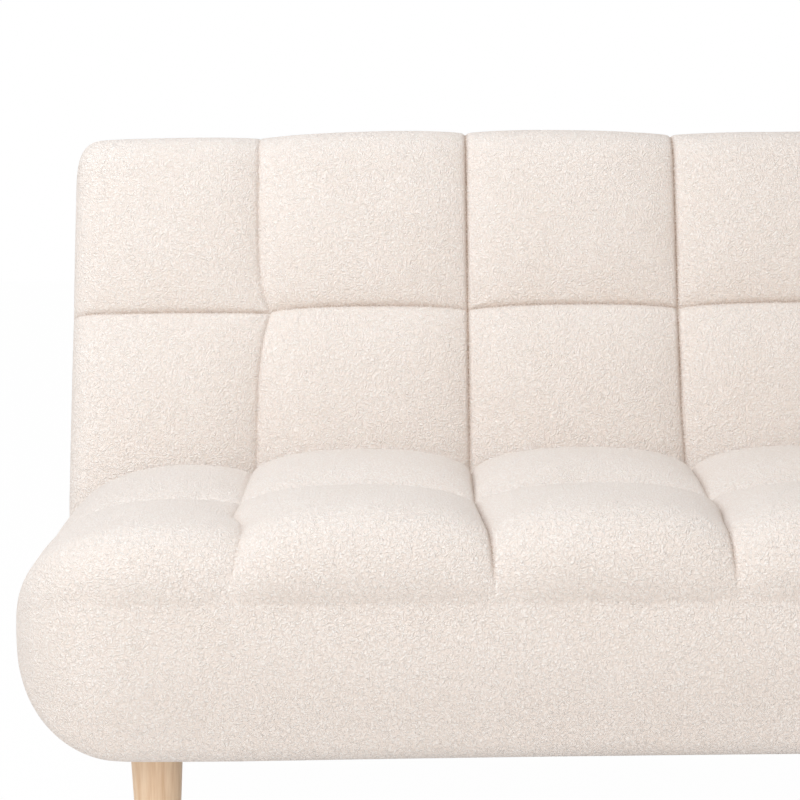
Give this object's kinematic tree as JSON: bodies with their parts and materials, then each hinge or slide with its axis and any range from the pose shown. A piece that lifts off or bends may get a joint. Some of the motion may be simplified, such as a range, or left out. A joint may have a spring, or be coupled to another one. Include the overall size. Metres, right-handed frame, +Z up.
{
  "type": "tufted sofa bed",
  "caption": "Armless boucle sofa bed with a tufted seat and a tufted reclining back on two ratchet hinges, a rolled-end base and turned tapered wooden legs.",
  "frame": {"origin": "middle of the footprint on the floor", "axes": "+X to the right seen from the front, along the sofa's width; +Y to the rear, so the front faces -Y; +Z up"},
  "size_m": [1.8, 0.8373, 0.7955],
  "materials": {
    "boucle": "matte",
    "panel_cloth": "matte",
    "dust_cloth": "matte",
    "foam": "matte",
    "elastic": "matte",
    "frame_pine": "matte",
    "leg_beech": "satin",
    "plate_steel": "satin",
    "bright_steel": "satin",
    "glide_nylon": "matte"
  },
  "bodies": {
    "base": {"seat_front_rail": "frame_pine", "seat_rear_rail": "frame_pine", "seat_end_rail_left": "frame_pine", "seat_end_rail_right": "frame_pine", "seat_hinge_rail_left": "frame_pine", "seat_hinge_rail_right": "frame_pine", "seat_centre_rail": "frame_pine", "centre_leg_block": "frame_pine", "base_bearer_left": "leg_beech", "base_bearer_right": "leg_beech", "base_cross_rail": "leg_beech", "seat_springs": "bright_steel", "spring_clips": "bright_steel", "seat_foam": "foam", "seat_cover": "boucle", "dust_cover": "dust_cloth", "leg_front_left": "leg_beech", "leg_front_right": "leg_beech", "leg_rear_left": "leg_beech", "leg_rear_right": "leg_beech", "leg_centre": "leg_beech", "leg_glides": "glide_nylon", "hanger_bolts": "bright_steel", "leg_nuts": "bright_steel", "hinge_seat_plate_left": "plate_steel", "hinge_seat_plate_right": "plate_steel", "ratchet_drum_left": "plate_steel", "ratchet_drum_right": "plate_steel", "hinge_pin_left": "bright_steel", "hinge_pin_right": "bright_steel", "hinge_seat_bolts": "bright_steel"},
    "back": {"hinge_back_plate_left": "plate_steel", "hinge_back_plate_right": "plate_steel", "hinge_back_bolts": "bright_steel", "back_top_rail": "frame_pine", "back_bottom_rail": "frame_pine", "back_end_stile_left": "frame_pine", "back_end_stile_right": "frame_pine", "back_hinge_stile_left": "frame_pine", "back_hinge_stile_right": "frame_pine", "back_centre_stile": "frame_pine", "back_straps": "elastic", "back_foam": "foam", "back_cover": "boucle", "back_panel": "panel_cloth"}
  },
  "joints": [
    {"name": "back_recline", "type": "hinge", "parent": "base", "child": "back", "pos_m": [0, 0.19464, 0.339], "axis": [-1, 0, 0], "range_deg": [-10, 70]}
  ]
}
